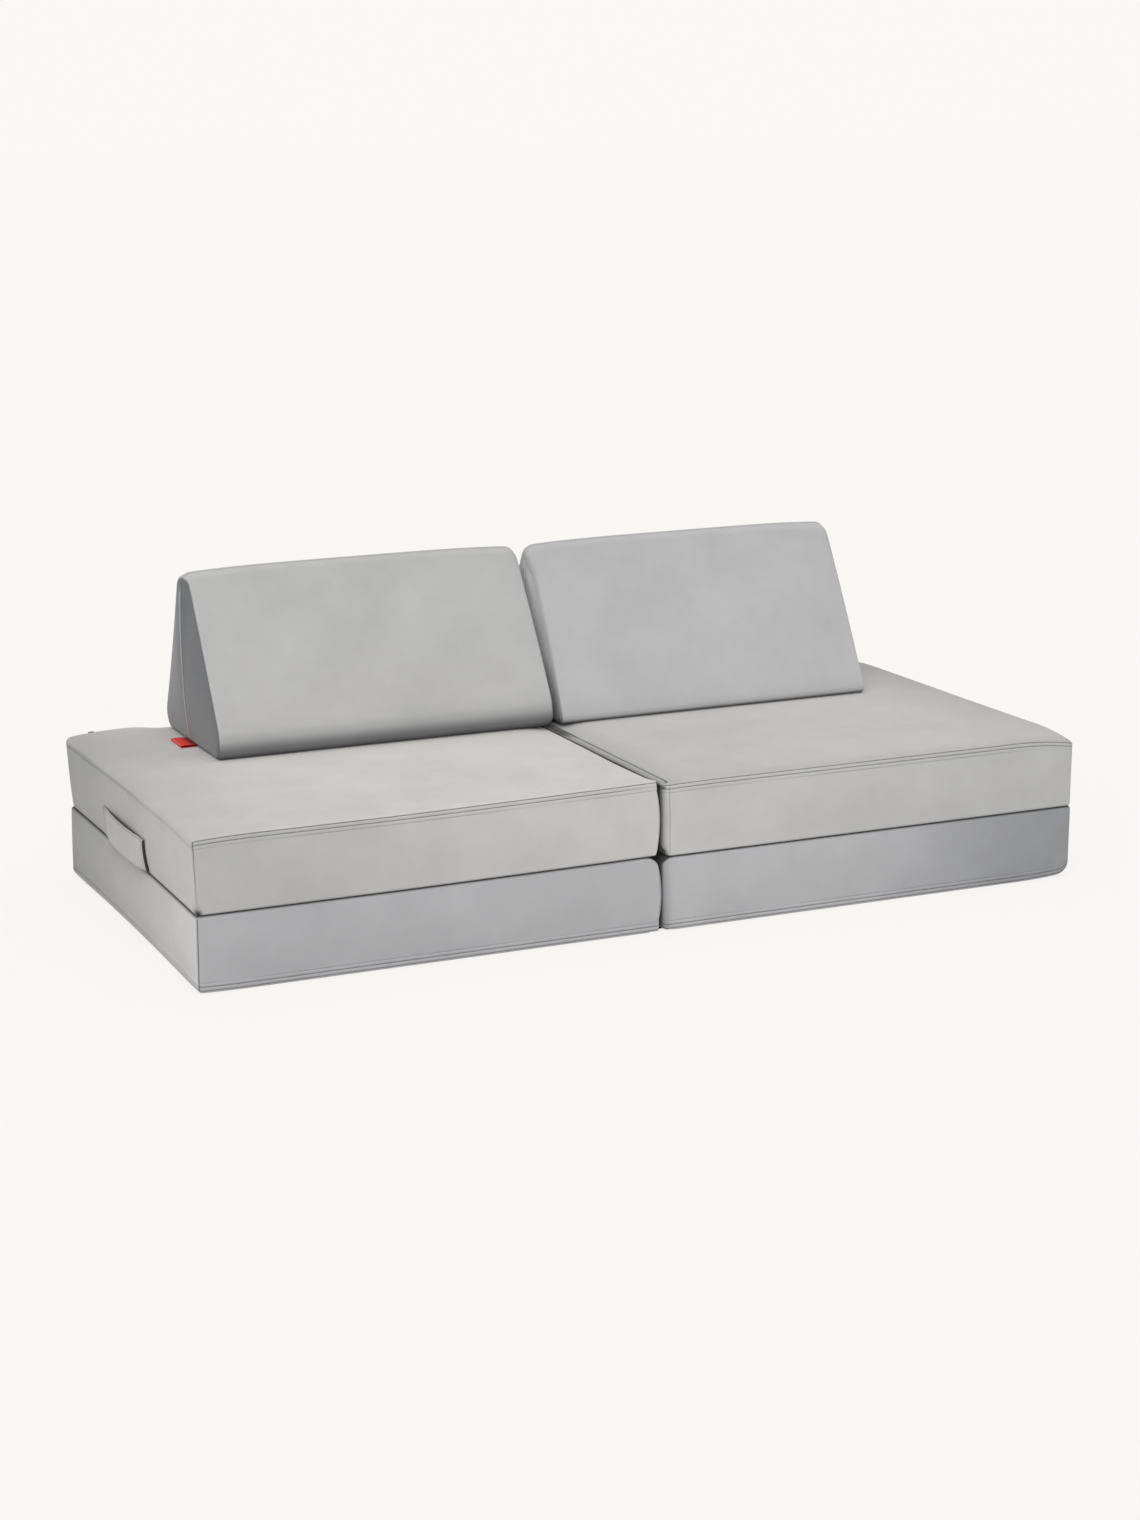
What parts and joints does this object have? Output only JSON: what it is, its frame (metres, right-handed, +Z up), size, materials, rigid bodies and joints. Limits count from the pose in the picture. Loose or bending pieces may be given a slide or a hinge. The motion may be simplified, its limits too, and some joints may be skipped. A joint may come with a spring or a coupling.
{
  "type": "modular foam play sofa",
  "caption": "Low modular foam play sofa: folding seat and base mattresses in sewn fabric covers, loose triangular wedge back cushions and carrying handles.",
  "frame": {"origin": "on the floor, under the fold line of the mattresses and midway between their front and back", "axes": "+X along the sofa to the sitter's left, the front faces -Y, +Z up"},
  "size_m": [1.7406, 0.8524, 0.5926],
  "materials": {
    "velvet_border": "short-pile velvet, light grey",
    "velvet_panel": "short-pile velvet, warm light grey",
    "foam": "open-cell polyurethane foam, cream",
    "zip_tape": "woven zip tape with a nylon coil, grey",
    "zip_metal": "die-cast, satin",
    "label": "woven ribbon, red, bare"
  },
  "bodies": {
    "base_left": {"base_left_cover": "velvet_border", "base_left_bottom_panel": "velvet_panel", "base_left_foam": "foam", "base_left_hinge_leaf": "velvet_panel", "base_left_zip": "zip_tape"},
    "base_right": {"base_right_cover": "velvet_border", "base_right_bottom_panel": "velvet_panel", "base_right_foam": "foam", "base_right_hinge_leaf": "velvet_panel", "base_right_zip": "zip_tape", "base_handle": "velvet_border"},
    "seat_left": {"seat_left_cover": "velvet_border", "seat_left_top_panel": "velvet_panel", "seat_left_foam": "foam", "seat_left_hinge_leaf": "velvet_panel", "seat_left_zip": "zip_tape", "seat_handle": "velvet_border"},
    "seat_right": {"seat_right_cover": "velvet_border", "seat_right_top_panel": "velvet_panel", "seat_right_foam": "foam", "seat_right_hinge_leaf": "velvet_panel", "seat_right_zip": "zip_tape"},
    "wedge_left": {"wedge_left_front_panel": "velvet_border", "wedge_left_back_panel": "velvet_border", "wedge_left_foam": "foam", "wedge_left_zip": "zip_tape", "wedge_left_label": "label"},
    "wedge_right": {"wedge_right_front_panel": "velvet_border", "wedge_right_back_panel": "velvet_border", "wedge_right_foam": "foam", "wedge_right_zip": "zip_tape"},
    "base_left_zip_slider": {"base_left_zip_slider": "zip_metal"},
    "base_left_zip_pull": {"base_left_zip_pull": "zip_metal"},
    "base_right_zip_slider": {"base_right_zip_slider": "zip_metal"},
    "base_right_zip_pull": {"base_right_zip_pull": "zip_metal"},
    "seat_left_zip_slider": {"seat_left_zip_slider": "zip_metal"},
    "seat_left_zip_pull": {"seat_left_zip_pull": "zip_metal"},
    "seat_right_zip_slider": {"seat_right_zip_slider": "zip_metal"},
    "seat_right_zip_pull": {"seat_right_zip_pull": "zip_metal"},
    "wedge_left_zip_slider": {"wedge_left_zip_slider": "zip_metal"},
    "wedge_left_zip_pull": {"wedge_left_zip_pull": "zip_metal"},
    "wedge_right_zip_slider": {"wedge_right_zip_slider": "zip_metal"},
    "wedge_right_zip_pull": {"wedge_right_zip_pull": "zip_metal"}
  },
  "joints": [
    {"name": "base_fold", "type": "hinge", "parent": "base_left", "child": "base_right", "pos_m": [0, 0, -0.00015], "axis": [0, 1, 0], "range_deg": [0, 180]},
    {"name": "seat_lift", "type": "slide", "parent": "base_left", "child": "seat_left", "axis": [0, 0, 1], "range_m": [0, 0.4]},
    {"name": "seat_fold", "type": "hinge", "parent": "seat_left", "child": "seat_right", "pos_m": [0, 0, 0.2683], "axis": [0, -1, 0], "range_deg": [0, 2]},
    {"name": "wedge_left_lift", "type": "slide", "parent": "seat_left", "child": "wedge_left", "axis": [-0.0995, 0, 0.995], "range_m": [0, 0.4]},
    {"name": "wedge_right_lift", "type": "slide", "parent": "seat_right", "child": "wedge_right", "axis": [0.0995, 0, 0.995], "range_m": [0, 0.4]},
    {"name": "base_left_zip_slide", "type": "slide", "parent": "base_left", "child": "base_left_zip_slider", "axis": [1, 0, 0], "range_m": [0, 0.6288]},
    {"name": "base_right_zip_slide", "type": "slide", "parent": "base_right", "child": "base_right_zip_slider", "axis": [-1, 0, 0], "range_m": [0, 0.6288]},
    {"name": "seat_left_zip_slide", "type": "slide", "parent": "seat_left", "child": "seat_left_zip_slider", "axis": [1, 0, 0], "range_m": [0, 0.6288]},
    {"name": "seat_right_zip_slide", "type": "slide", "parent": "seat_right", "child": "seat_right_zip_slider", "axis": [-1, 0, 0], "range_m": [0, 0.6288]},
    {"name": "wedge_left_zip_slide", "type": "slide", "parent": "wedge_left", "child": "wedge_left_zip_slider", "axis": [1, 0, 0], "range_m": [0, 0.532]},
    {"name": "wedge_right_zip_slide", "type": "slide", "parent": "wedge_right", "child": "wedge_right_zip_slider", "axis": [1, 0, 0], "range_m": [0, 0.532]},
    {"name": "base_left_zip_pull_flip", "type": "hinge", "parent": "base_left_zip_slider", "child": "base_left_zip_pull", "pos_m": [-0.73593, 0.42515, 0.0367], "axis": [0, 0, 1], "range_deg": [0, 180]},
    {"name": "base_right_zip_pull_flip", "type": "hinge", "parent": "base_right_zip_slider", "child": "base_right_zip_pull", "pos_m": [0.73593, 0.42515, 0.0367], "axis": [0, 0, -1], "range_deg": [0, 180]},
    {"name": "seat_left_zip_pull_flip", "type": "hinge", "parent": "seat_left_zip_slider", "child": "seat_left_zip_pull", "pos_m": [-0.73593, 0.42515, 0.2316], "axis": [0, 0, 1], "range_deg": [0, 180]},
    {"name": "seat_right_zip_pull_flip", "type": "hinge", "parent": "seat_right_zip_slider", "child": "seat_right_zip_pull", "pos_m": [0.73593, 0.42515, 0.2316], "axis": [0, 0, -1], "range_deg": [0, 180]},
    {"name": "wedge_left_zip_pull_flip", "type": "hinge", "parent": "wedge_left_zip_slider", "child": "wedge_left_zip_pull", "pos_m": [-0.5895, 0.38994, 0.35008], "axis": [0, -0.4858, 0.8741], "range_deg": [0, 180]},
    {"name": "wedge_right_zip_pull_flip", "type": "hinge", "parent": "wedge_right_zip_slider", "child": "wedge_right_zip_pull", "pos_m": [0.0795, 0.38994, 0.35008], "axis": [0, -0.4858, 0.8741], "range_deg": [0, 180]}
  ]
}
